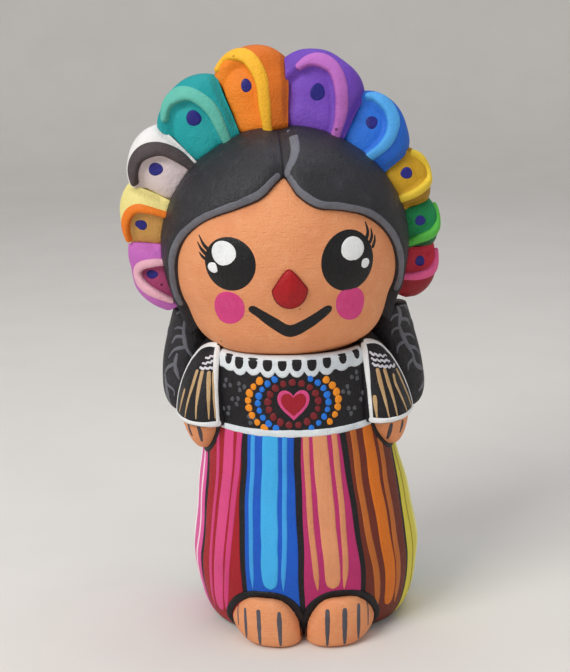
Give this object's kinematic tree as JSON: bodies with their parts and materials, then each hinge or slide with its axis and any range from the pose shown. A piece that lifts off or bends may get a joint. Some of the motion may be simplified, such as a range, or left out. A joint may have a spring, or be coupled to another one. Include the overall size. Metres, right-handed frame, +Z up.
{
  "type": "painted folk doll figure",
  "caption": "Hollow standing folk doll with a round head, braids, ribbon-roll headdress, embroidered blouse and striped skirt, on a flat base.",
  "frame": {"origin": "middle of the flat underside, on the surface the figure stands on", "axes": "+Z up, along the figure's height; -Y is the side the face looks to; +X is the figure's own left"},
  "size_m": [0.1387, 0.0933, 0.2504],
  "materials": {
    "skirt_and_blouse": "matte",
    "skin": "matte",
    "hair": "matte",
    "nose_red": "satin",
    "raw_paper": "matte",
    "card": "matte",
    "roll_red": "matte",
    "roll_green": "matte",
    "roll_gold": "matte",
    "roll_blue": "matte",
    "roll_purple": "matte",
    "roll_orange": "matte",
    "roll_teal": "matte",
    "roll_white": "matte",
    "roll_cream": "matte",
    "roll_lilac": "matte",
    "coil_red": "matte",
    "coil_green": "matte",
    "coil_gold": "matte",
    "coil_blue": "matte",
    "coil_purple": "matte",
    "coil_orange": "matte",
    "coil_teal": "matte",
    "coil_white": "matte",
    "coil_cream": "matte",
    "coil_lilac": "matte",
    "sleeve": "matte"
  },
  "bodies": {
    "root": {"body_front_shell": "skirt_and_blouse", "body_back_shell": "skirt_and_blouse", "seam_strip_left": "raw_paper", "seam_strip_right": "raw_paper", "base_disc": "card", "shoulder_disc": "card", "neck_tube": "card", "head_front_shell": "skin", "head_back_shell": "skin", "head_seam_band": "raw_paper", "hair_swag_left": "hair", "hair_swag_right": "hair", "hair_back": "hair", "nose": "nose_red", "roll_red": "roll_red", "roll_green": "roll_green", "roll_gold": "roll_gold", "roll_blue": "roll_blue", "roll_purple": "roll_purple", "roll_orange": "roll_orange", "roll_teal": "roll_teal", "roll_white": "roll_white", "roll_cream": "roll_cream", "roll_lilac": "roll_lilac", "coil_red": "coil_red", "coil_green": "coil_green", "coil_gold": "coil_gold", "coil_blue": "coil_blue", "coil_purple": "coil_purple", "coil_orange": "coil_orange", "coil_teal": "coil_teal", "coil_white": "coil_white", "coil_cream": "coil_cream", "coil_lilac": "coil_lilac", "braid_left": "hair", "braid_right": "hair", "sleeve_left": "sleeve", "sleeve_right": "sleeve", "hand_left": "skin", "hand_right": "skin", "foot_left": "skin", "foot_right": "skin"}
  },
  "joints": []
}
